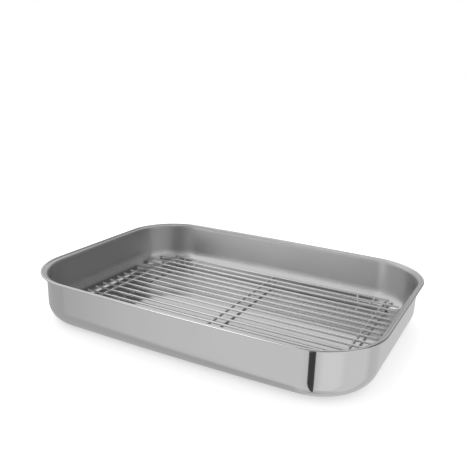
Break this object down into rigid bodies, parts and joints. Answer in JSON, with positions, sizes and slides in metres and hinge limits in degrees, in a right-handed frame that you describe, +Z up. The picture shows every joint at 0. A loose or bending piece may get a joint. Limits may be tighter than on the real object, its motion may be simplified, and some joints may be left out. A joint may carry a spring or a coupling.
{
  "type": "roasting pan with rack",
  "caption": "Rectangular metal roasting pan with rolled rim, rounded corners and bowed long sides, holding a low lift-out rack of straight wires on small bent-wire feet.",
  "frame": {"origin": "on the surface it stands on, under the middle of the pan", "axes": "+X along the pan's length to the right, +Y across it to the back, +Z up"},
  "size_m": [0.35, 0.2524, 0.0504],
  "materials": {
    "polished_stainless": "pressed stainless sheet, polished to a satin mirror",
    "plated_wire": "bright plated steel wire, spot welded"
  },
  "bodies": {
    "pan": {"pan_shell": "polished_stainless"},
    "rack": {"long_wire_01": "plated_wire", "long_wire_02": "plated_wire", "long_wire_03": "plated_wire", "long_wire_04": "plated_wire", "long_wire_05": "plated_wire", "long_wire_06": "plated_wire", "long_wire_07": "plated_wire", "long_wire_08": "plated_wire", "long_wire_09": "plated_wire", "long_wire_10": "plated_wire", "long_wire_11": "plated_wire", "long_wire_12": "plated_wire", "long_wire_13": "plated_wire", "long_wire_14": "plated_wire", "long_wire_15": "plated_wire", "long_wire_16": "plated_wire", "long_wire_17": "plated_wire", "long_wire_18": "plated_wire", "cross_wire_left": "plated_wire", "cross_wire_middle": "plated_wire", "cross_wire_right": "plated_wire", "foot_front_left": "plated_wire", "foot_front_right": "plated_wire", "foot_back_left": "plated_wire", "foot_back_right": "plated_wire"}
  },
  "joints": [
    {"name": "rack_lift", "type": "slide", "parent": "pan", "child": "rack", "axis": [0, 0, 1], "range_m": [0, 0.07]}
  ]
}
